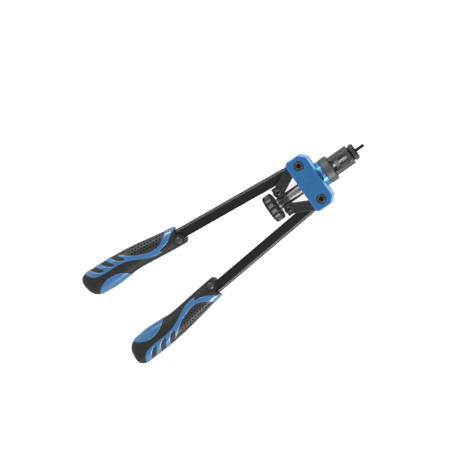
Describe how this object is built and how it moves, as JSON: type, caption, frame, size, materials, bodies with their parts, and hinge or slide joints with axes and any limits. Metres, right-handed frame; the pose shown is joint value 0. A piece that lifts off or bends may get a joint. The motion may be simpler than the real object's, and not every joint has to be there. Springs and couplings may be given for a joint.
{
  "type": "rivet nut tool",
  "caption": "Long-armed lever tool that pulls a threaded mandrel back through a nose anvil to set rivet nuts, with toggle links, a spin knob and moulded grips.",
  "frame": {"origin": "centre of the anvil's face on the mandrel's axis, where a rivet nut's flange seats", "axes": "+X along the mandrel out of the nose, +Y towards the upper arm, +Z out of the head's upper cheek"},
  "size_m": [0.3731, 0.1316, 0.034],
  "materials": {
    "blue_head": "blue anodised, fine satin",
    "black_oxide": "dark grey phosphated steel, satin",
    "black_steel": "black lacquered steel, semi-gloss",
    "bolt_steel": "black oxide screws",
    "bright_steel": "ground bright steel",
    "mandrel_steel": "hardened steel",
    "bronze": "sintered bronze",
    "knob_plastic": "moulded black plastic",
    "grip_black": "moulded black plastic, fine grain",
    "grip_blue": "moulded blue plastic, satin",
    "rivet_black": "black oxide rivet, semi-gloss"
  },
  "bodies": {
    "head": {"head_block": "blue_head", "guide_bush": "bronze", "pivot_bolts": "bolt_steel", "pivot_nuts": "bolt_steel", "pivot_spacers": "bright_steel"},
    "ring": {"lock_ring": "black_oxide"},
    "nose": {"nose_housing": "black_oxide", "anvil": "black_oxide"},
    "crosshead": {"crosshead": "black_steel", "link_screws": "bolt_steel", "link_nuts": "bolt_steel"},
    "spindle": {"drawbar": "bright_steel", "mandrel": "mandrel_steel", "thrust_washer": "bright_steel", "knob": "knob_plastic", "knob_screw": "bolt_steel"},
    "upper_link": {"upper_links": "black_steel"},
    "lower_link": {"lower_links": "black_steel"},
    "upper_arm": {"upper_arm": "black_steel", "upper_toggle_pin": "bright_steel", "upper_grip": "grip_black", "upper_grip_inlays": "grip_blue", "upper_grip_rivet": "rivet_black"},
    "lower_arm": {"lower_arm": "black_steel", "lower_toggle_pin": "bright_steel", "lower_grip": "grip_black", "lower_grip_inlays": "grip_blue", "lower_grip_rivet": "rivet_black"}
  },
  "joints": [
    {"name": "upper_arm_swing", "type": "hinge", "parent": "head", "child": "upper_arm", "pos_m": [-0.0654, 0.0235, 0], "axis": [0, 0, -1], "range_deg": [0, 40]},
    {"name": "lower_arm_swing", "type": "hinge", "parent": "head", "child": "lower_arm", "pos_m": [-0.0654, -0.0235, 0], "axis": [0, 0, 1], "range_deg": [0, 40]},
    {"name": "crosshead_slide", "type": "slide", "parent": "head", "child": "crosshead", "axis": [1, 0, 0], "range_m": [0, 0.0082]},
    {"name": "upper_link_swing", "type": "hinge", "parent": "crosshead", "child": "upper_link", "pos_m": [-0.1038, 0.0118, 0], "axis": [0, 0, 1], "range_deg": [0, 18]},
    {"name": "lower_link_swing", "type": "hinge", "parent": "crosshead", "child": "lower_link", "pos_m": [-0.1038, -0.0118, 0], "axis": [0, 0, -1], "range_deg": [0, 18]},
    {"name": "knob_spin", "type": "hinge", "parent": "crosshead", "child": "spindle", "pos_m": [-0.1038, 0, 0], "axis": [1, 0, 0], "continuous": true},
    {"name": "ring_turn", "type": "hinge", "parent": "head", "child": "ring", "pos_m": [-0.04, 0, 0], "axis": [1, 0, 0], "range_deg": [-180, 180]},
    {"name": "nose_turn", "type": "hinge", "parent": "head", "child": "nose", "pos_m": [-0.02, 0, 0], "axis": [1, 0, 0], "range_deg": [-180, 180]}
  ],
  "couplings": [
    {"joint": "lower_arm_swing", "follows": "upper_arm_swing", "ratio": 1},
    {"joint": "crosshead_slide", "follows": "upper_arm_swing", "m_per_rad": 0.01155},
    {"joint": "upper_link_swing", "follows": "upper_arm_swing", "ratio": 0.445},
    {"joint": "lower_link_swing", "follows": "upper_arm_swing", "ratio": 0.445}
  ]
}
